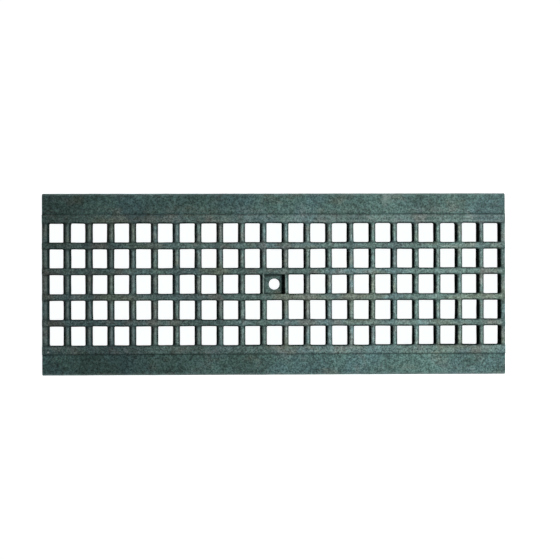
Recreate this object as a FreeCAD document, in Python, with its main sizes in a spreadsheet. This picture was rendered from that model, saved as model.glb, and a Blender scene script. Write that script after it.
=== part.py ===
"""Cast iron drain grate for a channel 150 mm wide: one casting.

Frame: millimetres, +Z up, X along the grate, Y across it. The origin is in the
middle of the underside, which is flat at z = 0. The bars of the mesh are
narrower at the bottom than at the top, as the mould needs to draw, so each cell
widens downwards. Bars along the grate are flat and level with the tread; the
bars across have a rounded ridge that lies a little lower, and the two end bars are
level outside their ridge. The middle cell is closed by a pad with a recess for a bolt
head and a plain hole through its floor.
"""

import FreeCAD, Part
import math
import os
import Sketcher

V = FreeCAD.Vector

doc = FreeCAD.newDocument("drain_grate")

# ---------------------------------------------------------------- dimensions
DIMS = [
    # name, value, meaning
    ("length", 500.0, "along the channel"),
    ("width", 196.0, "across the channel, over both flanges"),
    ("height", 20.0, "underside to tread"),
    ("tread_width", 151.4, "raised field between the two step lines"),
    ("step_drop", 1.6, "flange top lies this far below the tread"),
    ("rim_round", 3.0, "long upper edges of the flanges"),
    ("tread_round", 0.9, "upper edge of the step"),
    ("foot_round", 0.6, "foot of the step"),
    ("under_round", 1.2, "long lower edges"),
    ("end_round", 0.8, "edges round the two end faces"),
    ("columns", 21, "cells along the grate"),
    ("rows", 5, "cells across the grate"),
    ("pitch_along", 23.5, "cell to cell along the grate"),
    ("pitch_across", 27.7, "cell to cell across the grate"),
    ("open_along", 15.0, "cell opening at the tread"),
    ("open_across", 19.7, "cell opening at the tread"),
    ("draft_angle", 6.9, "slope of the cell walls, degrees"),
    ("cell_round", 0.8, "inside corners of a cell"),
    ("lip_round", 1.4, "upper edge of each cell"),
    ("root_round", 0.6, "lower edge of each cell"),
    ("flare_gap", 0.02, "how far above the tread a cell's rounding would end"),
    ("recess_along", 22.5, "bolt recess in the middle pad"),
    ("recess_across", 21.2, "bolt recess in the middle pad"),
    ("recess_round", 1.0, "corners of the bolt recess"),
    ("recess_depth", 4.0, "tread to floor of the recess"),
    ("recess_lip", 0.6, "upper edge and foot of the recess"),
    ("bolt_hole", 12.0, "diameter of the bolt hole"),
    ("crown_drop", 1.2, "crest of a cross bar below the tread"),
    ("crown_round", 2.6, "rounded ridge of a cross bar"),
    ("crown_flank", 40.0, "slope on both sides of the ridge, degrees"),
    ("over", 1.0, "how far a cutting shape runs past the metal"),
]
dims = doc.addObject("Spreadsheet::Sheet", "dims")
for row, (name, value, note) in enumerate(DIMS, start=1):
    dims.set("A%d" % row, name)
    dims.set("B%d" % row, "%g" % value)
    dims.set("C%d" % row, note)
    dims.setAlias("B%d" % row, name)
doc.recompute()
D = {name: float(dims.get(name)) for name, _, _ in DIMS}

body = doc.addObject("PartDesign::Body", "grate")
body.Label = "grate"
ORIGIN = {feature.Role: feature for feature in body.Origin.OriginFeatures}


def volume():
    doc.recompute()
    return body.Shape.Volume


def edges_where(feature, test):
    """Names of the edges of a feature's shape whose box passes a test."""
    found = []
    for index, edge in enumerate(feature.Shape.Edges, start=1):
        box = edge.BoundBox
        if test(edge, box):
            found.append("Edge%d" % index)
    return found


def rounded(name, base, names, cell):
    """A constant radius on the named edges of a feature."""
    fillet = body.newObject("PartDesign::Fillet", name)
    fillet.Base = (base, names)
    fillet.setExpression("Radius", "dims." + cell)
    doc.recompute()
    if not names or "Invalid" in fillet.State or fillet.Shape.isNull():
        raise RuntimeError("%s on %d edges: %s" % (name, len(names), fillet.State))
    return fillet


def near(a, b, within=0.02):
    return abs(a - b) < within


# ------------------------------------------------- cross-section of the plate
section = body.newObject("Sketcher::SketchObject", "section")
section.AttachmentSupport = [(ORIGIN["YZ_Plane"], "")]
section.MapMode = "FlatFace"
hw, ht = D["width"] / 2, D["tread_width"] / 2
top, flange = D["height"], D["height"] - D["step_drop"]
corners = [
    V(-hw, 0, 0), V(hw, 0, 0), V(hw, flange, 0), V(ht, flange, 0),
    V(ht, top, 0), V(-ht, top, 0), V(-ht, flange, 0), V(-hw, flange, 0),
]
for i, a in enumerate(corners):
    section.addGeometry(Part.LineSegment(a, corners[(i + 1) % 8]), False)
for i in range(8):
    section.addConstraint(Sketcher.Constraint("Coincident", i, 2, (i + 1) % 8, 1))
for i in (2, 6):
    section.addConstraint(Sketcher.Constraint("Horizontal", i))
for i in (1, 3, 5, 7):
    section.addConstraint(Sketcher.Constraint("Vertical", i))
section.addConstraint(Sketcher.Constraint("PointOnObject", 0, 1, -1))
section.addConstraint(Sketcher.Constraint("Symmetric", 0, 1, 0, 2, -2))
section.addConstraint(Sketcher.Constraint("Symmetric", 4, 1, 4, 2, -2))
section.addConstraint(Sketcher.Constraint("Equal", 3, 5))
for name, first, second, kind, cell in (
    ("width", (0, 1), (0, 2), "DistanceX", "dims.width"),
    ("tread_width", (4, 2), (4, 1), "DistanceX", "dims.tread_width"),
    ("height", (0, 1), (4, 2), "DistanceY", "dims.height"),
    ("step_drop", (3, 1), (3, 2), "DistanceY", "dims.step_drop"),
):
    number = section.addConstraint(
        Sketcher.Constraint(kind, *first, *second, D[name]))
    section.renameConstraint(number, name)
    section.setExpression("Constraints." + name, cell)

plate = body.newObject("PartDesign::Pad", "plate")
plate.Profile = section
plate.Midplane = True
plate.setExpression("Length", "dims.length")
doc.recompute()

# Long edges: rounded rims, rounded step with a small fillet at its foot.
x_end = D["length"] / 2


def long_edge(y, z):
    return lambda e, b: (near(b.XLength, D["length"]) and near(abs(b.YMin), y)
                         and near(b.ZMin, z) and near(b.ZMax, z))


base = rounded("rim", plate, edges_where(plate, long_edge(hw, flange)), "rim_round")
base = rounded("tread_edge", base, edges_where(base, long_edge(ht, top)), "tread_round")
base = rounded("step_foot", base, edges_where(base, long_edge(ht, flange)), "foot_round")
base = rounded("under_edge", base, edges_where(base, long_edge(hw, 0.0)), "under_round")
# The outline of each end face is one smooth loop now.
base = rounded("end_edge", base, edges_where(
    base, lambda e, b: near(b.XLength, 0.0) and near(abs(b.XMin), x_end)), "end_round")
solid_plate = volume()

# ----------------------------------------------------------- pad in the middle


def rectangle(owner, origin, name, z_formula, along, across):
    """A sketch of a rectangle centred on the Z axis of a body."""
    sketch = owner.newObject("Sketcher::SketchObject", name)
    sketch.AttachmentSupport = [(origin["XY_Plane"], "")]
    sketch.MapMode = "FlatFace"
    sketch.setExpression("AttachmentOffset.Base.z", z_formula)
    a, c = along[1] / 2, across[1] / 2
    pts = [V(-a, -c, 0), V(a, -c, 0), V(a, c, 0), V(-a, c, 0)]
    for i in range(4):
        sketch.addGeometry(Part.LineSegment(pts[i], pts[(i + 1) % 4]), False)
    for i in range(4):
        sketch.addConstraint(Sketcher.Constraint("Coincident", i, 2, (i + 1) % 4, 1))
    for i in (0, 2):
        sketch.addConstraint(Sketcher.Constraint("Horizontal", i))
    for i in (1, 3):
        sketch.addConstraint(Sketcher.Constraint("Vertical", i))
    sketch.addConstraint(Sketcher.Constraint("Symmetric", 0, 1, 2, 1, -1, 1))
    for label, kind, line, (formula, size) in (
        ("along", "DistanceX", 0, along), ("across", "DistanceY", 1, across),
    ):
        number = sketch.addConstraint(
            Sketcher.Constraint(kind, line, 1, line, 2, size))
        sketch.renameConstraint(number, label)
        sketch.setExpression("Constraints." + label, formula)
    doc.recompute()
    return sketch


recess = body.newObject("PartDesign::Pocket", "bolt_recess")
recess.Profile = rectangle(
    body, ORIGIN, "recess_plan", "dims.height",
    ("dims.recess_along", D["recess_along"]),
    ("dims.recess_across", D["recess_across"]))
recess.setExpression("Length", "dims.recess_depth")
recessed = volume()
floor = top - D["recess_depth"]
ra, rc = D["recess_along"] / 2, D["recess_across"] / 2


def of_recess(b):
    return max(abs(b.XMin), abs(b.XMax)) < ra + 0.1 and max(abs(b.YMin), abs(b.YMax)) < rc + 0.1


base = rounded("recess_corners", recess, edges_where(
    recess, lambda e, b: of_recess(b) and near(b.ZMin, floor) and near(b.ZMax, top)),
    "recess_round")
base = rounded("recess_lips", base, edges_where(
    base, lambda e, b: of_recess(b) and near(b.ZMin, top) and near(b.ZMax, top)),
    "recess_lip")
base = rounded("recess_foot", base, edges_where(
    base, lambda e, b: of_recess(b) and near(b.ZMin, floor) and near(b.ZMax, floor)),
    "recess_lip")

hole_plan = body.newObject("Sketcher::SketchObject", "hole_plan")
hole_plan.AttachmentSupport = [(ORIGIN["XY_Plane"], "")]
hole_plan.MapMode = "FlatFace"
hole_plan.addGeometry(Part.Circle(V(0, 0, 0), V(0, 0, 1), D["bolt_hole"] / 2), False)
hole_plan.addConstraint(Sketcher.Constraint("Coincident", 0, 3, -1, 1))
number = hole_plan.addConstraint(Sketcher.Constraint("Diameter", 0, D["bolt_hole"]))
hole_plan.renameConstraint(number, "bolt_hole")
hole_plan.setExpression("Constraints.bolt_hole", "dims.bolt_hole")
before = volume()
hole = body.newObject("PartDesign::Pocket", "bolt_hole")
hole.Profile = hole_plan
hole.Midplane = True
hole.setExpression("Length", "4 * dims.height")
holed = volume()
if not (recessed < solid_plate and holed < before):
    raise RuntimeError("a feature of the middle pad cut nothing")

# ---------------------------------------------------------------- mesh field
# The cells are left by cores: tapered blocks, wider at the bottom, with rounded
# corners, and flared at both ends so that the bars get rounded edges. A flare
# ends a hair outside the face it opens in.
TAN = "tan(dims.draft_angle)"
NARROW = "dims.open_%s - 2 * dims.over * " + TAN
tan_draft = math.tan(math.radians(D["draft_angle"]))


def core(name, x_formula, y_formula):
    """One core as a body, with its middle at the given place."""
    block = doc.addObject("PartDesign::Body", name)
    origin = {feature.Role: feature for feature in block.Origin.OriginFeatures}
    post = block.newObject("PartDesign::Pad", name + "_post")
    post.Profile = rectangle(
        block, origin, name + "_plan", "dims.height + dims.over",
        (NARROW % "along", D["open_along"]), (NARROW % "across", D["open_across"]))
    post.Reversed = True
    post.setExpression("Length", "dims.height + 2 * dims.over")
    doc.recompute()

    def fillet(label, base, names, formula):
        made = block.newObject("PartDesign::Fillet", name + label)
        made.Base = (base, names)
        made.setExpression("Radius", formula)
        doc.recompute()
        if not names or "Invalid" in made.State or made.Shape.isNull():
            raise RuntimeError("%s on %d edges: %s" % (made.Name, len(names), made.State))
        return made

    base = fillet("_corners", post, edges_where(
        post, lambda e, b: b.ZLength > D["height"]), "dims.cell_round - dims.over * " + TAN)
    faces = base.Shape.Faces
    taper = block.newObject("PartDesign::Draft", name + "_taper")
    taper.Base = (base, ["Face%d" % (i + 1) for i, f in enumerate(faces)
                         if f.BoundBox.ZLength > D["height"]])
    taper.NeutralPlane = (base, ["Face%d" % (i + 1) for i, f in enumerate(faces)
                                 if near(f.BoundBox.ZMin, top + D["over"])])
    taper.setExpression("Angle", "dims.draft_angle")
    doc.recompute()
    if taper.Shape.Volume < base.Shape.Volume:
        taper.Reversed = True
        doc.recompute()
    if taper.Shape.Volume < base.Shape.Volume:
        raise RuntimeError("%s does not widen downwards" % taper.Name)
    base = taper
    for label, z_formula, grow, deep, meet, cell in (
        ("_mouth", "dims.height + dims.flare_gap", "", "dims.over - dims.flare_gap",
         top + D["flare_gap"], "lip_round"),
        ("_foot", "-dims.over", " + 2 * dims.height * " + TAN, "dims.over - dims.flare_gap",
         -D["flare_gap"], "root_round"),
    ):
        reach = " + 3 * dims.%s" % cell
        plan = rectangle(
            block, origin, name + label + "_plan", z_formula,
            ("dims.open_along" + grow + reach, D["open_along"] + 4),
            ("dims.open_across" + grow + reach, D["open_across"] + 4))
        cap = block.newObject("PartDesign::Pad", name + label)
        cap.Profile = plan
        cap.setExpression("Length", deep)
        doc.recompute()
        inside = (D["open_along"] / 2 + (top - meet) * tan_draft + 0.1,
                  D["open_across"] / 2 + (top - meet) * tan_draft + 0.1)
        base = fillet(label + "_flare", cap, edges_where(
            cap, lambda e, b: near(b.ZMin, meet, 0.005) and near(b.ZMax, meet, 0.005)
            and max(abs(b.XMin), abs(b.XMax)) < inside[0]
            and max(abs(b.YMin), abs(b.YMax)) < inside[1]), "dims." + cell)
    block.Tip = base
    block.setExpression("Placement.Base.x", x_formula)
    block.setExpression("Placement.Base.y", y_formula)
    doc.recompute()
    return block, origin, base


def cores(name, first_column, first_row, count_along, count_across):
    """A block of cores, from the given column and row counted from the middle."""
    block, origin, base = core(
        name, "dims.pitch_along * (%s)" % first_column, "dims.pitch_across * (%s)" % first_row)
    grid = block.newObject("PartDesign::LinearPattern", name + "_grid")
    grid.TransformMode = "Whole shape"
    grid.Direction = (origin["X_Axis"], [""])
    grid.setExpression("Length", "dims.pitch_along * (%s - 1)" % count_along)
    grid.setExpression("Occurrences", count_along)
    if count_across:
        grid.Direction2 = (origin["Y_Axis"], [""])
        grid.setExpression("Length2", "dims.pitch_across * (%s - 1)" % count_across)
        grid.setExpression("Occurrences2", count_across)
    block.Tip = grid
    doc.recompute()
    return block


half_along, half_across = "(dims.columns - 1) / 2", "(dims.rows - 1) / 2"
blocks = [
    cores("cores_front", "-" + half_along, "-" + half_across, "dims.columns", half_across),
    cores("cores_back", "-" + half_along, "1", "dims.columns", half_across),
    cores("cores_left", "-" + half_along, "0", half_along, None),
    cores("cores_right", "1", "0", half_along, None),
]
count = sum(len(block.Shape.Solids) for block in blocks)
if count != D["columns"] * D["rows"] - 1:
    raise RuntimeError("%d cores" % count)


def crowns(name, first_bar, first_row, count_along, count_across, level=False, turn=0.0):
    """What is cut off the cross bars, from the given bar and row: all above a rounded ridge.
    The bars may be level on one side of it, and the block may be turned about Z, in degrees."""
    block = doc.addObject("PartDesign::Body", name)
    origin = {feature.Role: feature for feature in block.Origin.OriginFeatures}
    sketch = block.newObject("Sketcher::SketchObject", name + "_profile")
    sketch.AttachmentSupport = [(origin["XZ_Plane"], "")]
    sketch.MapMode = "FlatFace"
    r, flank = D["crown_round"], math.radians(D["crown_flank"])
    a = (D["pitch_along"] - D["open_along"]) / 2
    mid, high = top - D["crown_drop"] - r, top + D["over"]
    bend, brow = r * math.sin(flank), mid + r * math.cos(flank)
    low = brow - (a - bend) * math.tan(flank)
    side = 0.0 if level else flank
    bend2, brow2 = r * math.sin(side), mid + r * math.cos(side)
    low2 = brow2 - (a - bend2) * math.tan(side)
    sketch.addGeometry(Part.LineSegment(V(-a, high, 0), V(a, high, 0)), False)
    sketch.addGeometry(Part.LineSegment(V(a, high, 0), V(a, low2, 0)), False)
    sketch.addGeometry(Part.LineSegment(V(a, low2, 0), V(bend2, brow2, 0)), False)
    sketch.addGeometry(Part.ArcOfCircle(
        Part.Circle(V(0, mid, 0), V(0, 0, 1), r), math.pi / 2 - side, math.pi / 2 + flank), False)
    sketch.addGeometry(Part.LineSegment(V(-bend, brow, 0), V(-a, low, 0)), False)
    sketch.addGeometry(Part.LineSegment(V(-a, low, 0), V(-a, high, 0)), False)
    for first, second in (((0, 2), (1, 1)), ((1, 2), (2, 1)), ((4, 2), (5, 1)), ((5, 2), (0, 1))):
        sketch.addConstraint(Sketcher.Constraint("Coincident", *first, *second))
    sketch.addConstraint(Sketcher.Constraint("Tangent", 2, 2, 3, 1))
    sketch.addConstraint(Sketcher.Constraint("Tangent", 3, 2, 4, 1))
    sketch.addConstraint(Sketcher.Constraint("Vertical", 1))
    sketch.addConstraint(Sketcher.Constraint("Vertical", 5))
    sketch.addConstraint(Sketcher.Constraint("Symmetric", 0, 1, 0, 2, -2))
    sketch.addConstraint(
        Sketcher.Constraint("Horizontal", 2) if level else Sketcher.Constraint("Horizontal", 2, 1, 4, 2))
    sketch.addConstraint(Sketcher.Constraint("PointOnObject", 3, 3, -2))
    for label, constraint, formula in (
        ("wide", Sketcher.Constraint("DistanceX", 0, 1, 0, 2, 2 * a), "dims.pitch_along - dims.open_along"),
        ("round", Sketcher.Constraint("Radius", 3, r), "dims.crown_round"),
        ("flank", Sketcher.Constraint("Angle", 4, flank - math.pi), "dims.crown_flank - 180"),
        ("mid", Sketcher.Constraint("DistanceY", -1, 1, 3, 3, mid),
         "dims.height - dims.crown_drop - dims.crown_round"),
        ("high", Sketcher.Constraint("DistanceY", -1, 1, 0, 1, high), "dims.height + dims.over"),
    ):
        number = sketch.addConstraint(constraint)
        sketch.renameConstraint(number, label)
        sketch.setExpression("Constraints." + label, formula)
    bar = block.newObject("PartDesign::Pad", name + "_bar")
    bar.Profile = sketch
    bar.Midplane = True
    bar.setExpression("Length", "dims.open_across + dims.lip_round / 4")
    doc.recompute()
    grid = block.newObject("PartDesign::LinearPattern", name + "_grid")
    grid.TransformMode = "Whole shape"
    ways = [way for way in (("X_Axis", "pitch_along", count_along),
                            ("Y_Axis", "pitch_across", count_across)) if way[2]]
    for number, (axis, pitch, count) in zip(("", "2"), ways):
        setattr(grid, "Direction" + number, (origin[axis], [""]))
        grid.setExpression("Length" + number, "dims.%s * (%s - 1)" % (pitch, count))
        grid.setExpression("Occurrences" + number, count)
    block.Tip = grid
    block.Placement = FreeCAD.Placement(V(0, 0, 0), FreeCAD.Rotation(V(0, 0, 1), turn))
    block.setExpression("Placement.Base.x", "dims.pitch_along * (%s)" % first_bar)
    block.setExpression("Placement.Base.y", "dims.pitch_across * (%s)" % first_row)
    doc.recompute()
    return block


caps = [
    crowns("crowns_front", "1 - dims.columns / 2", "-" + half_across, "dims.columns - 1", half_across),
    crowns("crowns_back", "1 - dims.columns / 2", "1", "dims.columns - 1", half_across),
    crowns("crowns_left", "1 - dims.columns / 2", "0", half_along, None),
    crowns("crowns_right", "0.5", "0", half_along, None),
    crowns("crowns_end_left", "-dims.columns / 2", half_across, None, "dims.rows", True, 180.0),
    crowns("crowns_end_right", "dims.columns / 2", "-" + half_across, None, "dims.rows", True),
]
bars = sum(len(block.Shape.Solids) for block in caps)
if bars != (D["columns"] + 1) * D["rows"]:
    raise RuntimeError("%d crowns" % bars)
mesh = body.newObject("PartDesign::Boolean", "mesh")
mesh.Type = "Cut"
mesh.setObjects(blocks + caps)
body.Tip = mesh
meshed = volume()
print("plate %.1f cm3, with %d cells %.1f cm3" % (solid_plate / 1000, count, meshed / 1000))

# ------------------------------------------------------------------ write it
for obj in doc.Objects:
    if "Invalid" in obj.State or "Error" in obj.State:
        raise RuntimeError("%s failed: %s" % (obj.Name, obj.State))
shape = body.Shape
if shape.isNull() or not shape.isValid() or len(shape.Solids) != 1:
    raise RuntimeError("the casting is not one valid solid")
box = shape.BoundBox
print("grate: %.2f x %.2f x %.2f mm, %d faces, %.1f cm3, %.2f kg at 7.2 g/cm3" % (
    box.XLength, box.YLength, box.ZLength, len(shape.Faces),
    shape.Volume / 1000, shape.Volume * 7.2e-6))
os.makedirs("parts", exist_ok=True)
shape.exportStep("parts/%s.step" % body.Label)
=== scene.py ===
"""Looks of the cast iron drain grate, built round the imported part.

The casting is modelled again as one closed mesh in the same frame, with what a
sand mould leaves: walls that are not quite straight, corners of uneven radius,
slightly wavy bars. The finish is a dark green-grey cast skin.
"""

import math
import random

import bmesh
import bpy
import numpy as np
from mathutils import Matrix, Vector, geometry, noise


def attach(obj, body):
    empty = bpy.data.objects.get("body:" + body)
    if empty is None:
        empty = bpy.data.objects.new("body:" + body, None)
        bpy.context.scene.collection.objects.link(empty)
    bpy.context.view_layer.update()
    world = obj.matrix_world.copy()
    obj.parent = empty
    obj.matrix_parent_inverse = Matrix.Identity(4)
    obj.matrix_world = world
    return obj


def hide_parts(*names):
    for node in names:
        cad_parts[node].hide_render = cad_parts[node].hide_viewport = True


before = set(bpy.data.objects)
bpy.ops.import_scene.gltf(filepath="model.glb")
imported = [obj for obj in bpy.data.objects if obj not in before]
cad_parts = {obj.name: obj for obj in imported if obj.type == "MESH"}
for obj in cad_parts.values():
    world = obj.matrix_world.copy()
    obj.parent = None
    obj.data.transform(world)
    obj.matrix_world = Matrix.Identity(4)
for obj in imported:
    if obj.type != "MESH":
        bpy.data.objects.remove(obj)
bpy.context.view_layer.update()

# ------------------------------------------------------------- dimensions, mm
LENGTH, WIDTH, HEIGHT = 500.0, 196.0, 20.0
TREAD, DROP = 151.4, 1.6
RIM_R, TREAD_R, FOOT_R, UNDER_R, END_R = 3.0, 0.9, 0.6, 1.2, 0.8
COLS, ROWS = 21, 5
PX, PY = 23.5, 27.7
OX, OY = 15.0, 19.7
DRAFT = math.radians(6.9)
CELL_R, LIP_R, ROOT_R = 0.8, 1.4, 0.6
CROWN_DROP, CROWN_R, FLANK = 1.2, 2.6, math.radians(40.0)
REC_X, REC_Y, REC_R, REC_D, REC_LIP = 22.5, 21.2, 1.0, 4.0, 0.6
HOLE_R = 6.0
NS, NC = 5, 6  # segments on a side and on a corner of a cell
TURN = (0.2, 0.42, 1.0)  # where the points lie from a cell's corner to its tile's corner

rng = random.Random(20)


# ------------------------------------------------------------------ mesh tools
class Patch:
    """Faces, and vertices with three weights each: how much painted shade (in the cells partly a
    darker skin), how much edge wear and painted highlight, how far up on the tread."""

    def __init__(self):
        self.points, self.deep, self.edge, self.tread, self.faces = [], [], [], [], []

    def grid(self, rows, closed=True):
        """Quads between successive rows of points: (x, y, z, painted shade, edge wear and painted highlight, tread).
        """
        index = []
        for row in rows:
            start = len(self.points)
            for x, y, z, deep, edge, tread in row:
                self.points.append((x, y, z))
                self.deep.append(deep)
                self.edge.append(edge)
                self.tread.append(tread)
            index.append(range(start, start + len(row)))
        for a, b in zip(index[:-1], index[1:]):
            count = len(a)
            for k in range(count if closed else count - 1):
                m = (k + 1) % count
                self.faces.append((a[k], a[m], b[m], b[k]))


def loop(hx, hy, r):
    """A rounded rectangle round the origin, anticlockwise from the right side, with the
    outward normals and how far each point has turned from the right or left side (0) to
    the back or front (1)."""
    sx, sy = hx - r, hy - r
    line = np.linspace(-1.0, 1.0, NS + 1)
    arc = [k / NC for k in range(1, NC)]
    pts, out, turned = [], [], []
    for side in range(4):
        n = [(1, 0), (0, 1), (-1, 0), (0, -1)][side]
        for s in line:
            pts.append([(hx, s * sy), (-s * sx, hy), (-hx, -s * sy), (s * sx, -hy)][side])
            out.append(n)
            turned.append(side % 2)
        cx, cy = [(sx, sy), (-sx, sy), (-sx, -sy), (sx, -sy)][side]
        for a in arc:
            b = (a + side) * math.pi / 2
            pts.append((cx + r * math.cos(b), cy + r * math.sin(b)))
            out.append((math.cos(b), math.sin(b)))
            turned.append(a if side % 2 == 0 else 1 - a)
    return np.array(pts), np.array(out, float), np.array(turned, float)


def boundary(hx, hy, bulge=None):
    """The edge of a tile, with one point for each point of a cell's loop."""
    sx, sy = OX / 2 - CELL_R, OY / 2 - CELL_R
    line = np.linspace(-1.0, 1.0, NS + 1)
    pts = []
    for side in range(4):
        for s in line:
            pts.append([(hx, s * sy), (-s * sx, hy), (-hx, -s * sy), (s * sx, -hy)][side])
        near = np.array([(hx, sy), (-sx, hy), (-hx, -sy), (sx, -hy)][side])
        corner = np.array([(hx, hy), (-hx, hy), (-hx, -hy), (hx, -hy)][side])
        far = np.array([(sx, hy), (-hx, sy), (-sx, -hy), (hx, -sy)][side])
        for t in TURN:
            pts.append(tuple(near + (corner - near) * t))
        for t in TURN[-2::-1]:
            pts.append(tuple(far + (corner - far) * t))
    pts = np.array(pts, float)
    for at, toward in bulge or ():  # beside the middle pad the edge gives way to its recess
        for p in pts:
            if abs(p[0] - at) < 1e-6 and abs(p[1]) < PY / 2 - 1e-6:
                p[0] += toward * (0.65 if abs(p[1]) < 11.0 else 0.35)
    return pts


def lip_profile(r, segments, angle):
    """Offsets from a cell's sharp upper edge, outward and downward, round a rolled edge of
    the given radius between the level face and a wall that leans by the angle."""
    reach = r * (1 + math.sin(angle)) / math.cos(angle)
    out = []
    for k in range(segments + 1):
        phi = math.pi / 2 + (math.pi / 2 + angle) * k / segments
        out.append((reach + r * math.cos(phi), -r + r * math.sin(phi)))
    return out


def crown(u):
    """Height of a cross bar at a distance from its middle: a round ridge between two flanks."""
    u = np.abs(u)
    bend = CROWN_R * math.sin(FLANK)
    arc = CROWN_R - np.sqrt(CROWN_R ** 2 - np.minimum(u, bend) ** 2)
    return HEIGHT - CROWN_DROP - arc - np.maximum(u - bend, 0.0) * math.tan(FLANK)


def ledge(v, half):
    """Height of a flat bar with rounded edges at a distance from its middle."""
    reach = LIP_R * (1 + math.sin(DRAFT)) / math.cos(DRAFT)
    w = np.abs(v) - (half - reach)
    arc = HEIGHT - LIP_R + np.sqrt(np.maximum(LIP_R ** 2 - np.maximum(w, 0.0) ** 2, 0.0))
    return np.where(w < 0.98 * LIP_R, arc, HEIGHT - 0.8 * LIP_R - (w - 0.98 * LIP_R) * 8.0)


def top_surface(x, y):
    """Height of the bars round a cell."""
    u, v = PX / 2 - np.abs(x), PY / 2 - np.abs(y)
    across = crown(u)
    along = ledge(v, (PY - OY) / 2)
    soft = 0.5
    h = np.maximum(soft - np.abs(across - along), 0.0) / soft
    z = np.maximum(across, along) + np.where(np.minimum(across, along) > HEIGHT - 4.0, h * h * soft / 4, 0.0)
    return np.minimum(z, HEIGHT)


def junction(y):
    """How much painted shade lies in the corner where a cross bar meets the side of a bar along the grate."""
    half = (PY - OY) / 2
    v = PY / 2 - np.abs(y)
    start = half - LIP_R * (1 + math.sin(DRAFT)) / math.cos(DRAFT) - 0.3
    return 0.55 * np.clip((v - start) / LIP_R, 0.0, 1.0) * np.clip((half + 1.2 - v) / 1.2, 0.0, 1.0)


patch = Patch()
TAN = math.tan(DRAFT)


def row3(points, z, weights, cx=0.0, cy=0.0):
    z, deep, edge, tread = (np.broadcast_to(v, len(points)) for v in (z, *weights))
    return [(cx + p[0], cy + p[1], *v) for p, v in zip(points, zip(z, deep, edge, tread))]


# From the middle of a bar to the edge of a cell: distance from the edge and how far the
# painted shade of the cell has begun, on a cross bar and on a bar along the grate.
ACROSS = ((3.35, 0.0), (2.55, 0.12), (1.90, 0.50), (1.40, 0.72), (1.00, 0.86), (0.70, 0.93), (0.50, 0.97))
ALONG = ((3.05, 0.0), (2.15, 0.0), (1.65, 0.28), (1.20, 0.55), (0.82, 0.78), (0.50, 0.92), (0.28, 1.0))


def crest_rub_and_highlight(i, j, p, share):
    """Wear and painted highlight along the crest of the cross bars, most at the left end, for points p round a cell.
    """
    bar = i + np.sign(p[:, 0]) * 0.5
    fade = np.clip((OY / 2 + 0.6 - np.abs(p[:, 1])) / 2.0, 0.0, 1.0) * (np.abs(p[:, 0]) > OX / 2)
    return share * fade * np.maximum(0.25 - 0.042 * bar, 0.0)


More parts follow.
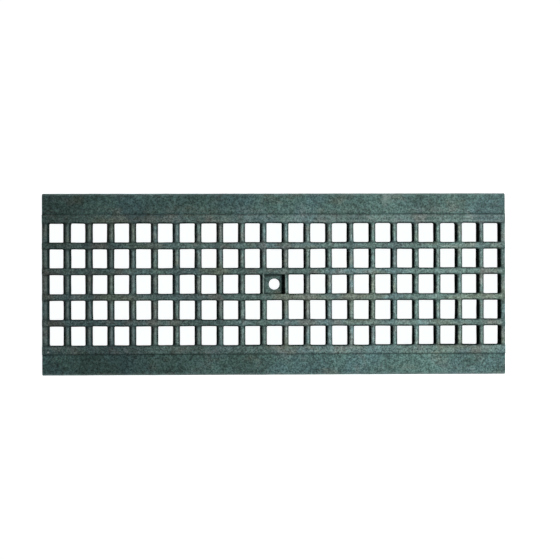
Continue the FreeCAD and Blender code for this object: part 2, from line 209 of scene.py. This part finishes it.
def cell_tile(i, j):
    """One tile of the mesh with its cell, i columns and j rows from the middle."""
    cx, cy = i * PX, j * PY
    beside = j == 0 and abs(i) == 1
    edge = boundary(PX / 2, PY / 2, [(-i * PX / 2, i)] if beside else None)
    # As cast: no two cells are quite alike.
    r = CELL_R - 0.35 + rng.uniform(-0.1, 0.3) + (rng.uniform(0.3, 1.0) if j == 2 and i > 0 else 0.0)
    hx = OX / 2 + rng.uniform(-0.12, 0.10) - 0.28 * min(1.0, max(0.0, -i / 9))
    hy = OY / 2 + rng.uniform(-0.12, 0.12)
    ox, oy = (0.0 if beside else rng.uniform(-0.12, 0.12)), rng.uniform(-0.12, 0.12)
    lift = 0.2 * min(1.0, max(0.0, (i - 1) / 6)) if j == -2 else 0.0
    hy, oy = hy - lift, oy + lift
    turn = rng.uniform(-0.005, 0.005)
    ca, sa = math.cos(turn), math.sin(turn)
    base, out, turned = loop(hx, hy, r)

    def place(d):
        p = base + out * np.asarray(d)[..., None]
        return np.stack([p[:, 0] * ca - p[:, 1] * sa + ox, p[:, 0] * sa + p[:, 1] * ca + oy], 1)

    def add(p, z, deep, wear_and_highlight=0.0):
        z, deep, wear_and_highlight = (np.broadcast_to(v, len(p)) for v in (z, deep, wear_and_highlight))
        rows.append([(cx + q[0], cy + q[1], h, d, w, 1.0) for q, h, d, w in zip(p, z, deep, wear_and_highlight)])

    rows = []
    wear_and_highlight = crest_rub_and_highlight(i, j, edge, 1.0)
    # Painted highlight along the crest beside the recess, and painted shade where the bars meet.
    if beside:
        wear_and_highlight = np.where((-i * edge[:, 0] > PX / 2 - 0.8) & (np.abs(edge[:, 1]) < 10.6), 1.0, wear_and_highlight)
    add(edge, top_surface(edge[:, 0], edge[:, 1]), junction(edge[:, 1]), wear_and_highlight)
    low = None
    leftmost, rightmost, lit = (min(1.0, max(0.0, v)) for v in (-i / 9, i / 5, (i + 4) / 5))
    for k, ((da, wa), (db, wb)) in enumerate(zip(ACROSS, ALONG)):
        p = place(da + (db - da) * turned)
        z = top_surface(p[:, 0], p[:, 1])
        low = z if low is None else np.minimum(z, low)
        # Painted shade round the cell's edge, changed column by column to follow the lamps: more on its left edge at
        # the left end and a little towards the right; less on its right edge at the left end and more there towards
        # the right end; more along its back and front edges towards the right, on its back edge, and in the back and
        # front rows by the strips.
        wa = wa + (out[:, 0] < -0.5) * leftmost * (0.0, 0.20, 0.32, 0.26, 0.12, 0.07, 0.03)[k]
        wa = wa + (out[:, 0] < -0.5) * lit * (0.0, 0.05, 0.12, 0.08, 0.04, 0.0, 0.0)[k]
        wa = wa - (out[:, 0] > 0.5) * leftmost * (0.0, 0.10, 0.18, 0.12, 0.05, 0.0, 0.0)[k]
        wa = wa + (out[:, 0] > 0.5) * rightmost * (0.08, 0.56, 0.38, 0.16, 0.05, 0.0, 0.0)[k]
        wa = wa + (out[:, 0] < -0.5) * max(0.0, (i - 6) / 4) * (0.12, 0.10, 0.05, 0.0, 0.0, 0.0, 0.0)[k]
        wb = wb + lit * (0.0, 0.05, 0.18, 0.22, 0.14, 0.06, 0.0)[k]
        wb = wb + (out[:, 1] > 0.5) * (0.0, 0.0, 0.10, 0.18, 0.12, 0.05, 0.0)[k]
        if j == 2:
            wb = wb + (out[:, 1] > 0.5) * (1.0 - lit) * (0.0, 0.0, 0.12, 0.20, 0.10, 0.0, 0.0)[k]
        if j == -2:
            wb = wb + (out[:, 1] < -0.5) * lit * (0.0, 0.05, 0.20, 0.25, 0.15, 0.05, 0.0)[k]
        # Painted highlight and wear along the crests, a little more on the cell's right side.
        share = np.where(out[:, 0] < 0, (1.0, 0.5, 0.0)[k], (1.1, 0.8, 0.2)[k]) if k < 3 else 0.0
        wear_and_highlight = crest_rub_and_highlight(i, j, p, share)
        if j == 2:  # edge of the back strip: painted highlight, stronger towards the right
            wear_and_highlight = wear_and_highlight + (out[:, 1] > 0.5) * lit * (0.42, 0.25, 0.0, 0.0, 0.0, 0.0, 0.0)[k]
        add(p, low, np.maximum(wa + (wb - wa) * turned, junction(p[:, 1])), wear_and_highlight)
    # Full painted shade down the cell walls (partly a darker skin) and on the underside.
    z_top = np.minimum(low - 0.35, 16.0 + (18.3 - 16.0) * turned)
    add(place((HEIGHT - z_top) * TAN), z_top, 1.0)
    under = [(d, -z) for d, z in lip_profile(ROOT_R, 3, -DRAFT)][::-1]
    z_low = under[0][1]
    for t in (0.25, 0.55, 0.85):
        z = z_top + (z_low - z_top) * t
        add(place((HEIGHT - z) * TAN), z, 1.0)
    for d, z in under:
        add(place(np.full(len(base), HEIGHT * TAN + d)), z, 1.0)
    add(boundary(PX / 2, PY / 2), 0.0, 0.8)
    patch.grid(rows)


def pad_tile():
    """The middle tile: a pad with a recess for a bolt head and a hole in its floor."""
    edge = boundary(PX / 2, PY / 2, [(PX / 2, 1), (-PX / 2, -1)])
    # Painted highlight on the crests beside the recess.
    crest = ((np.abs(edge[:, 0]) > PX / 2 - 0.01) & (np.abs(edge[:, 1]) < 10.6)) * 1.0
    rings = [(edge, top_surface(edge[:, 0], edge[:, 1]), (0.0, crest, 1.0))]
    floor = HEIGHT - REC_D
    # Painted shadow in the recess: dark on its lip and walls, most on the right wall, on the floor by the back and
    # right walls and in the bolt hole; painted highlight on the left and right sides of its brim.
    for k, (d, z) in enumerate(lip_profile(REC_LIP, 4, 0.0)):
        p, out, turned = loop(REC_X / 2 + d, REC_Y / 2 + d, REC_R + d)
        dark = np.where(out[:, 0] > 0.5, (0.0, 0.25, 0.55, 0.80, 0.95)[k], (0.0, 0.05, 0.18, 0.50, 0.88)[k])
        dark = dark + turned * (0.08, 0.22, 0.35, 0.30, 0.10)[k]
        wear_and_highlight = (1.0, 1.0, 0.8, 0.35, 0.0)[k] * (1.0 - turned)
        rings.append((p, top_surface(p[:, 0], p[:, 1]) + z, (dark, wear_and_highlight, 1.0)))
    brim = rings[-1][1]
    for f in (0.33, 0.66):
        rings.append((loop(REC_X / 2, REC_Y / 2, REC_R)[0], brim + (floor + REC_LIP - brim) * f, (1.0, 0.0, 1.0)))
    for k in range(5):  # foot of the wall
        a = math.pi / 2 * k / 4
        d = REC_LIP * (1 - math.cos(a))
        rings.append((loop(REC_X / 2 - d, REC_Y / 2 - d, REC_R - d)[0],
                      floor + REC_LIP * (1 - math.sin(a)), (1.0 - 0.25 * k / 4, 0.0, 1.0)))
    inner = loop(REC_X / 2 - REC_LIP, REC_Y / 2 - REC_LIP, REC_R - REC_LIP)[0]
    angle = np.arctan2(inner[:, 1], inner[:, 0])
    circle = np.stack([np.cos(angle), np.sin(angle)], 1)
    mouth = HOLE_R + 0.35
    back, side = (inner[:, 1] > REC_Y / 2 - 1.6) * 1.0, (inner[:, 0] > REC_X / 2 - 1.6) * 1.0
    for f, d, a, b in ((0.12, 0.55, 0.35, 0.4), (0.3, 0.28, 0.4, 0.45), (0.6, 0.20, 0.08, 0.45), (0.85, 0.20, 0.0, 0.35)):
        dark = d + np.maximum(a * back, b * side)
        rings.append((inner * (1 - f) + circle * mouth * f, floor, (dark, 0.0, 1.0)))
    for k in range(4):
        a = math.pi / 2 * k / 3
        rings.append((circle * (mouth - 0.35 * math.sin(a)), floor - 0.35 * (1 - math.cos(a)), (0.4 + 0.2 * side, 0.0, 1.0)))
    for z in (12.0, 8.0, 3.5):
        rings.append((circle * HOLE_R, z, (0.9, 0.0, 1.0)))
    for k in range(4):
        a = math.pi / 2 * k / 3
        rings.append((circle * (HOLE_R + 0.35 * (1 - math.cos(a))), 0.35 - 0.35 * math.sin(a), (0.9, 0.3, 1.0)))
    flat = boundary(PX / 2, PY / 2)
    for f in (0.5, 1.0):
        rings.append((circle * (HOLE_R + 0.35) * (1 - f) + flat * f, 0.0, (0.8, 0.0, 1.0)))
    patch.grid([row3(p, z, w) for p, z, w in rings])


for i in range(-(COLS // 2), COLS // 2 + 1):
    for j in range(-(ROWS // 2), ROWS // 2 + 1):
        if (i, j) == (0, 0):
            pad_tile()
        else:
            cell_tile(i, j)


# ---------------------------------------------- strips, steps, flanges and rims
def stations(half, pitch, opening, count):
    """Where the tiles along one edge of the mesh field have their points."""
    s = opening / 2 - CELL_R
    turn = [s + (half - s) * t for t in TURN[:-1]]
    one = [-half] + [-t for t in turn[::-1]] + list(np.linspace(-s, s, NS + 1)) + turn
    out = []
    for k in range(count):
        c = (k - (count - 1) / 2) * pitch
        out += [c + v for v in one]
    return np.array(out + [count * pitch / 2])


XS = stations(PX / 2, PX, OX, COLS)
YS = stations(PY / 2, PY, OY, ROWS)
Y0, X0 = YS[-1], XS[-1]
HT, HW, FZ = TREAD / 2, WIDTH / 2, HEIGHT - DROP


def side_profile():
    """From the mesh field out over the step and the flange, down, and back underneath:
    (y, z, painted shade, edge wear and painted highlight, tread)."""
    p = []
    # A little wear and painted highlight near the edge of the tread.
    for y, wear_and_highlight, t in ((Y0, 0.0, 1.0), (71.3, 0.0, 0.78), (73.4, 0.25, 0.78)):
        p.append((y, HEIGHT, 0.0, wear_and_highlight, t))
    # Painted shade round the edge of the tread, down the step and in its foot.
    for k in range(5):
        a = math.pi / 2 * k / 4
        p.append((HT - TREAD_R + TREAD_R * math.sin(a), HEIGHT - TREAD_R + TREAD_R * math.cos(a),
                  (0.42, 0.58, 0.62, 0.64, 0.62)[k], 0.0, 0.78 - 0.3 * k / 4))
    for k in range(4):
        a = math.pi / 2 * k / 3
        p.append((HT + FOOT_R - FOOT_R * math.cos(a), FZ + FOOT_R - FOOT_R * math.sin(a),
                  (0.60, 0.52, 0.32, 0.10)[k], 0.0, 0.4 - 0.4 * k / 3))
    for y in np.linspace(HT + FOOT_R, HW - RIM_R, 10)[1:-1]:
        p.append((y, FZ, 0.0, 0.0, 0.0))
    # Wear with painted highlight on the rounding of the rim.
    for k in range(7):
        a = math.pi / 2 * k / 6
        p.append((HW - RIM_R + RIM_R * math.sin(a), FZ - RIM_R + RIM_R * math.cos(a),
                  0.0, 0.3 * math.sin(min(1.0, k / 4) * math.pi), 0.0))
    # Painted shade down the side, round its lower edge (with a little wear there) and underneath.
    for z in np.linspace(FZ - RIM_R, UNDER_R, 6)[1:-1]:
        p.append((HW, z, 0.25, 0.0, 0.0))
    for k in range(4):
        a = math.pi / 2 * k / 3
        p.append((HW - UNDER_R + UNDER_R * math.cos(a), UNDER_R - UNDER_R * math.sin(a), 0.4, 0.2, 0.0))
    for y in np.linspace(HW - UNDER_R, Y0, 6)[1:]:
        p.append((y, 0.0, 0.5, 0.0, 0.0))
    return p


SIDE = side_profile()
for sign in (1, -1):
    rows = []
    for y, z, d, e, t in SIDE:
        step = y < 80.0 and z > 15.0
        # On the back step the painted shade and the painted highlight of the tread edge both grow towards the right
        # end; the front step keeps its painted shade even and gets no highlight.
        share = (0.74 + 0.26 * XS / XS[-1] if sign > 0 else np.full(len(XS), 1.0)) if step else np.ones(len(XS))
        wear_and_highlight = (0.8 + 0.7 * XS / XS[-1] if sign > 0 else np.zeros(len(XS))) if step else np.ones(len(XS))
        if sign > 0 and t == 0.0 and z > FZ - 0.01:
            t = max(0.0, 0.45 * (1.0 - (y - HT) / 11.0))
        rows.append([(x, sign * y, z, d * s, e * w, t) for x, s, w in zip(XS, share, wear_and_highlight)])
    if sign < 0:
        rows = rows[::-1]
    patch.grid(rows[::-1], closed=False)

# ------------------------------------------------------------------------ ends
right = SIDE
middle = np.array([round(y / PY) * PY if abs(y) < Y0 - 1e-6 else math.copysign((ROWS - 1) / 2 * PY, y) for y in YS])


def end_ring(x):
    """The outline of the casting between the last cells and the end, where the end bar is level
    outside its ridge; the place x is not used, so the outline is the same at every place."""
    z = top_surface(np.full(len(YS), PX / 2), YS - middle)
    ring = [(y, h, d, 0.0, 1.0) for y, h, d in zip(YS[:-1], z[:-1], junction(YS - middle))] + right[:-1]
    ring += [(y, 0.0, 0.7, 0.0, 1.0) for y in YS[::-1][:-1]]
    return ring + [(-y, z, d, e, t) for y, z, d, e, t in right[::-1][:-1]]


brink = LENGTH / 2 - END_R
ring = end_ring(brink)
R2 = np.array([(p[0], p[1]) for p in ring])
ahead, behind = np.roll(R2, -1, 0) - R2, R2 - np.roll(R2, 1, 0)
ahead /= np.linalg.norm(ahead, axis=1)[:, None]
behind /= np.linalg.norm(behind, axis=1)[:, None]
tangent = ahead + behind
tangent /= np.linalg.norm(tangent, axis=1)[:, None]
inward = np.stack([tangent[:, 1], -tangent[:, 0]], 1)  # the ring runs clockwise seen from +X
for sign in (1, -1):
    rows = []
    # Painted shade on the top of the end bars, more at the left end.
    for x, left, right_end in ((X0, 0.0, 0.0), (X0 + 0.9, 0.12, 0.08), (X0 + 1.7, 0.16, 0.12), (brink, 0.32, 0.08)):
        end_shade = left if sign < 0 else right_end
        rows.append([(sign * x, y, z, max(d, end_shade) if z > 15.0 and abs(y) < Y0 - PY / 2 + OY / 2 else d, e, t)
                     for y, z, d, e, t in end_ring(x)])
    # The rounded end gets more painted shade as it turns down.
    for k in range(1, 5):
        a = math.pi / 2 * k / 4
        x = brink + END_R * math.sin(a)
        d = END_R * (1 - math.cos(a))
        fall = np.array([p[1] for p in ring]) - np.array([p[1] for p in end_ring(x)])
        rows.append([(sign * x, p[0] + n[0] * d, p[1] + n[1] * d - g, min(1.0, p[2] + 0.05 * k), 0.0, p[4])
                     for p, n, g in zip(ring, inward, fall)])
    # The end face, filled with triangles of even size.
    last = rows[-1]
    outline = [Vector((p[1], p[2])) for p in last]
    inside = [Vector((y, z)) for y in np.arange(-94.0, 94.1, 4.0) for z in (4.5, 9.0, 13.5)]
    count = len(outline)
    verts, _, faces, orig, _, _ = geometry.delaunay_2d_cdt(
        outline + inside, [(k, (k + 1) % count) for k in range(count)], [], 1, 1e-5)
    start = len(patch.points)
    # The end face carries a little painted shade.
    for v, o in zip(verts, orig):
        src = last[o[0]] if o and o[0] < count else (0, v.x, v.y, 0.25, 0.0, 0.0)
        patch.points.append((sign * LENGTH / 2, src[1], src[2]))
        patch.deep.append(0.25)
        patch.edge.append(0.0)
        patch.tread.append(0.0)
    for f in faces:
        f = [start + k for k in f]
        patch.faces.append(tuple(f if sign > 0 else f[::-1]))
    patch.grid(rows if sign > 0 else rows[::-1])

# --------------------------------------------------------------- join the skin
points = np.array(patch.points)
key = {}
merged = np.empty(len(points), int)
kept = []
for k, p in enumerate(np.round(points / 0.002).astype(int)):
    cell = tuple(p)
    if cell not in key:
        for dx in (-1, 0, 1):
            for dy in (-1, 0, 1):
                for dz in (-1, 0, 1):
                    key.setdefault((cell[0] + dx, cell[1] + dy, cell[2] + dz), len(kept))
        key[cell] = len(kept)
        kept.append(k)
    merged[k] = key[cell]
verts = points[kept]
faces = []
for f in patch.faces:
    g = []
    for k in f:
        m = int(merged[k])
        if m not in g:
            g.append(m)
    if len(g) > 2:
        faces.append(g)
deep, edge, tread = (np.array(v)[kept] for v in (patch.deep, patch.edge, patch.tread))

mesh = bpy.data.meshes.new("grate_casting")
mesh.from_pydata([tuple(v / 1000.0) for v in verts], [], faces)
bm = bmesh.new()
bm.from_mesh(mesh)
bmesh.ops.recalc_face_normals(bm, faces=bm.faces)
open_edges = sum(1 for e in bm.edges if not e.is_manifold)
print("casting:", len(bm.verts), "points,", sum(len(f.verts) - 2 for f in bm.faces), "triangles,",
      open_edges, "open edges, volume cm3", round(bm.calc_volume() * 1e6, 1))
bm.to_mesh(mesh)
bm.free()

# As-cast unevenness, along the normals.
normals = np.empty(len(mesh.vertices) * 3)
mesh.vertices.foreach_get("normal", normals)
normals = normals.reshape(-1, 3)
moved = verts.copy()
for k, (p, n) in enumerate(zip(verts, normals)):
    a = noise.noise(Vector(p / 34.0))
    b = noise.noise(Vector(p / 11.0 + 40.0))
    c = noise.noise(Vector(p / 4.2 + 90.0))
    push = 0.16 * a + 0.17 * b + 0.08 * c
    rim = max((abs(p[0]) - 240.0) / 7.0, (abs(p[1]) - 88.0) / 7.0)
    push *= 1.0 - 0.65 * min(1.0, max(0.0, rim))
    if p[2] < 0.3:
        push = -abs(push) * 0.5
    moved[k] = p + n * push
moved[:, 2] = np.maximum(moved[:, 2], 0.0)
mesh.vertices.foreach_set("co", (moved / 1000.0).ravel())
# Weights for the shader: painted shade (in the cells partly a darker skin), edge wear with painted highlight, and
# tread wear.
for name, values in (("deep", deep), ("edge", edge), ("tread", tread)):
    layer = mesh.attributes.new(name, "FLOAT", "POINT")
    layer.data.foreach_set("value", np.clip(values, 0.0, 1.0))
mesh.polygons.foreach_set("use_smooth", [True] * len(mesh.polygons))
mesh.update()
casting = bpy.data.objects.new("grate_casting", mesh)
bpy.context.scene.collection.objects.link(casting)


# ---------------------------------------------------------------------- finish
def cast_skin():
    mat = bpy.data.materials.new("cast_iron_skin")
    mat.use_nodes = True
    tree = mat.node_tree
    nodes, links = tree.nodes, tree.links
    nodes.clear()
    out = nodes.new("ShaderNodeOutputMaterial")
    shader = nodes.new("ShaderNodeBsdfPrincipled")
    links.new(shader.outputs["BSDF"], out.inputs["Surface"])
    shader.inputs["Metallic"].default_value = 0.0
    shader.inputs["Specular IOR Level"].default_value = 0.14
    coord = nodes.new("ShaderNodeTexCoord").outputs["Object"]

    def tex(scale, detail=2.0, rough=0.5, stretch=None):
        node = nodes.new("ShaderNodeTexNoise")
        node.inputs["Scale"].default_value = scale
        node.inputs["Detail"].default_value = detail
        node.inputs["Roughness"].default_value = rough
        if stretch:
            mapping = nodes.new("ShaderNodeMapping")
            mapping.inputs["Scale"].default_value = stretch
            links.new(coord, mapping.inputs["Vector"])
            links.new(mapping.outputs["Vector"], node.inputs["Vector"])
        else:
            links.new(coord, node.inputs["Vector"])
        return node.outputs["Fac"]

    def remap(value, low, high, to_low=0.0, to_high=1.0, smooth=True):
        node = nodes.new("ShaderNodeMapRange")
        node.interpolation_type = "SMOOTHSTEP" if smooth else "LINEAR"
        links.new(value, node.inputs["Value"])
        for name, v in (("From Min", low), ("From Max", high), ("To Min", to_low), ("To Max", to_high)):
            node.inputs[name].default_value = v
        return node.outputs["Result"]

    def math_node(op, a, b):
        node = nodes.new("ShaderNodeMath")
        node.operation = op
        for socket, v in zip(node.inputs, (a, b)):
            if isinstance(v, (int, float)):
                socket.default_value = v
            else:
                links.new(v, socket)
        return node.outputs["Value"]

    def mix(kind, fac, a, b):
        node = nodes.new("ShaderNodeMix")
        node.data_type = "RGBA"
        node.blend_type = kind
        node.clamp_factor = True
        for name, v in (("Factor", fac), ("A", a), ("B", b)):
            socket = next(s for s in node.inputs if s.name == name and s.type == ("VALUE" if name == "Factor" else "RGBA"))
            if isinstance(v, (int, float)):
                socket.default_value = v
            elif isinstance(v, tuple):
                socket.default_value = (*v, 1.0)
            else:
                links.new(v, socket)
        return next(s for s in node.outputs if s.type == "RGBA")

    def spot(x, y, half_x, half_y):
        """Distance from a place on the casting, one at the edge of an oval."""
        mapping = nodes.new("ShaderNodeMapping")
        mapping.inputs["Scale"].default_value = (1 / half_x, 1 / half_y, 0.0)
        mapping.inputs["Location"].default_value = (-x / half_x, -y / half_y, 0.0)
        links.new(coord, mapping.inputs["Vector"])
        node = nodes.new("ShaderNodeVectorMath")
        node.operation = "LENGTH"
        links.new(mapping.outputs["Vector"], node.inputs[0])
        return node.outputs["Value"]

    def attribute(name):
        node = nodes.new("ShaderNodeAttribute")
        node.attribute_name = name
        return node.outputs["Fac"]

    def grey(value):
        node = nodes.new("ShaderNodeCombineColor")
        for socket in node.inputs:
            links.new(value, socket)
        return node.outputs["Color"]

    # Broad patches of green, teal, olive-brown and grey in the skin.
    green, teal = (0.052, 0.096, 0.084), (0.050, 0.094, 0.092)
    olive, stone = (0.082, 0.098, 0.078), (0.088, 0.112, 0.104)
    colour = mix("MIX", remap(tex(26.0, 2.0), 0.44, 0.62), green, teal)
    colour = mix("MIX", remap(tex(31.0, 3.0, 0.55, (1.0, 1.7, 1.0)), 0.53, 0.70, 0.0, 0.55), colour, olive)
    colour = mix("MIX", remap(tex(48.0, 3.0, 0.6), 0.53, 0.74, 0.0, 0.55), colour, stone)
    colour = mix("MULTIPLY", 1.0, colour, grey(remap(tex(17.0, 2.0), 0.30, 0.70, 0.80, 1.22)))
    # The tread is a little lighter than the flanges, from feet and wheels.
    colour = mix("MULTIPLY", 1.0, colour, mix("MIX", attribute("tread"), (0.91, 0.92, 0.94), (1.31, 1.15, 1.185)))
    # Brown and olive stains on the bars.
    stain = math_node("MULTIPLY", attribute("tread"), remap(tex(37.0, 2.0, 0.5, (1.0, 0.8, 0.3)), 0.53, 0.66, 0.0, 0.62))
    colour = mix("MIX", stain, colour, (0.104, 0.104, 0.094))
    stain = math_node("MULTIPLY", attribute("tread"), remap(tex(23.0, 2.0, 0.5, (0.6, 1.3, 0.3)), 0.55, 0.66, 0.0, 0.55))
    colour = mix("MIX", stain, colour, (0.094, 0.116, 0.082))
    # Grain of the sand mould.
    colour = mix("MULTIPLY", 1.0, colour, grey(remap(tex(560.0, 3.0, 0.75), 0.32, 0.68, 0.40, 1.68)))
    colour = mix("MULTIPLY", 1.0, colour, grey(remap(tex(230.0, 2.0), 0.28, 0.72, 0.76, 1.28)))
    # Bright specks on the tread.
    speck = math_node("MULTIPLY", attribute("tread"), remap(tex(430.0, 2.0), 0.60, 0.74, 0.0, 0.55))
    colour = mix("MIX", speck, colour, (0.195, 0.235, 0.225))
    # A pale rubbed streak on one flange.
    streak = math_node("MULTIPLY", remap(spot(0.1196, 0.0905, 0.0046, 0.0105), 0.2, 1.0, 0.6, 0.0),
                       remap(tex(190.0, 2.0), 0.35, 0.6, 0.4, 1.0))
    colour = mix("MIX", streak, colour, (0.165, 0.205, 0.195))
    # Rubbed edges: wear, and painted highlights along crests, brims, strip edges and rims.
    wear_and_highlight = math_node("MULTIPLY", attribute("edge"), remap(tex(130.0, 3.0), 0.36, 0.64, 0.35, 1.0))
    colour = mix("MIX", math_node("MULTIPLY", wear_and_highlight, 0.8), colour, (0.165, 0.205, 0.195))
    # Painted shade: cells, their walls, flanks away from the lamps, corners, the recess, the steps and the underside
    # go darker; in the cells partly a darker, thicker skin.
    colour = mix("MULTIPLY", 1.0, colour, mix("MIX", attribute("deep"), (1.0, 1.0, 1.0), (0.075, 0.135, 0.132)))
    # A nick by the step of the other flange.
    colour = mix("MIX", remap(spot(-0.2430, -0.0727, 0.0015, 0.0012), 0.4, 1.0, 0.95, 0.0), colour, (0.44, 0.48, 0.47))
    links.new(colour, shader.inputs["Base Color"])
    rough = math_node("ADD", remap(tex(300.0, 3.0), 0.3, 0.7, 0.58, 0.70),
                      math_node("MULTIPLY", attribute("deep"), 0.25))
    links.new(rough, shader.inputs["Roughness"])

    fine = nodes.new("ShaderNodeBump")
    fine.inputs["Strength"].default_value = 0.5
    fine.inputs["Distance"].default_value = 0.0003
    height = math_node("ADD", math_node("MULTIPLY", tex(750.0, 4.0, 0.65), 0.7),
                       math_node("MULTIPLY", tex(260.0, 2.0), 0.9))
    links.new(height, fine.inputs["Height"])
    links.new(fine.outputs["Normal"], shader.inputs["Normal"])
    return mat


casting.data.materials.append(cast_skin())
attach(casting, "root")
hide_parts("grate")

# ----------------------------------------------------------------------- stage
floor_mesh = bpy.data.meshes.new("floor")
floor_mesh.from_pydata([(-4, -4, -0.0003), (4, -4, -0.0003), (4, 4, -0.0003), (-4, 4, -0.0003)], [], [(0, 1, 2, 3)])
floor = bpy.data.objects.new("floor", floor_mesh)
bpy.context.scene.collection.objects.link(floor)
pale = bpy.data.materials.new("pale_floor")
pale.use_nodes = True
paint = pale.node_tree.nodes["Principled BSDF"]
paint.inputs["Base Color"].default_value = (0.30, 0.30, 0.30, 1.0)
paint.inputs["Roughness"].default_value = 0.9
paint.inputs["Specular IOR Level"].default_value = 0.0
paint.inputs["Emission Color"].default_value = (0.975, 1.0, 1.0, 1.0)
paint.inputs["Emission Strength"].default_value = 1.0
floor_mesh.materials.append(pale)
floor.visible_glossy = floor.visible_diffuse = False

# A pale wall far round the table, for views from the side.
ring_count, reach, tall = 48, 3.9, 6.0
wall_points, wall_faces = [], []
for k in range(ring_count):
    a = 2 * math.pi * k / ring_count
    wall_points += [(reach * math.cos(a), reach * math.sin(a), -0.0003), (reach * math.cos(a), reach * math.sin(a), tall)]
    m = (k + 1) % ring_count
    wall_faces.append((2 * k, 2 * m, 2 * m + 1, 2 * k + 1))
wall_mesh = bpy.data.meshes.new("backdrop")
wall_mesh.from_pydata(wall_points, [], wall_faces)
wall = bpy.data.objects.new("backdrop", wall_mesh)
bpy.context.scene.collection.objects.link(wall)
wall_mesh.materials.append(pale)
wall.visible_glossy = wall.visible_diffuse = wall.visible_shadow = False

world = bpy.data.worlds.new("studio")
bpy.context.scene.world = world
world.use_nodes = True
sky = world.node_tree.nodes["Background"]
sky.inputs["Color"].default_value = (0.97, 0.99, 1.0, 1.0)
sky.inputs["Strength"].default_value = 0.045


def area(name, place, aim, power, size_x, size_y, spread, colour=(1, 1, 1)):
    data = bpy.data.lights.new(name, "AREA")
    data.shape = "RECTANGLE"
    data.size, data.size_y = size_x, size_y
    data.energy = power
    data.spread = spread
    data.color = colour
    lamp = bpy.data.objects.new(name, data)
    lamp.location = place
    lamp.rotation_euler = (Vector(aim) - Vector(place)).to_track_quat("-Z", "Y").to_euler()
    bpy.context.scene.collection.objects.link(lamp)


area("right_soft", (1.35, 0.03, 0.88), (0.15, 0.0, 0.0), 1.325, 0.24, 0.30, math.radians(23.2))
area("left_fill", (-0.95, 0.02, 0.70), (-0.28, 0.0, 0.0), 0.060, 0.40, 0.40, math.radians(34.0))
# Low strips for the upright sides; they stay below the top and the steps.
area("front_low", (0.0, -0.22, 0.0035), (0.0, -0.098, 0.0035), 0.62, 0.80, 0.005, math.pi)
area("back_low", (0.0, 0.22, 0.0035), (0.0, 0.098, 0.0035), 0.62, 0.80, 0.005, math.pi)
area("left_low", (-0.38, 0.0, 0.0035), (-0.25, 0.0, 0.0035), 0.22, 0.40, 0.005, math.pi)

bpy.context.scene.view_settings.view_transform = "Standard"

# ---------------------------------------------------------------------- camera
camera_data = bpy.data.cameras.new("camera")
camera_data.sensor_width = 36.0
camera_data.lens = 36.0 * 1225.0 / 560.0
camera_data.clip_start, camera_data.clip_end = 0.05, 20.0
camera = bpy.data.objects.new("camera", camera_data)
camera.location = (-0.01683, 0.0017, 1.340)
# Nearly straight down, with the far edge of the grate up in the picture.
camera.rotation_euler = (Matrix.Rotation(-0.002682, 3, "Z") @ Matrix.Rotation(-0.017374, 3, "Y")
                         @ Matrix.Rotation(0.002082, 3, "X")).to_euler()
bpy.context.scene.collection.objects.link(camera)
bpy.context.scene.camera = camera
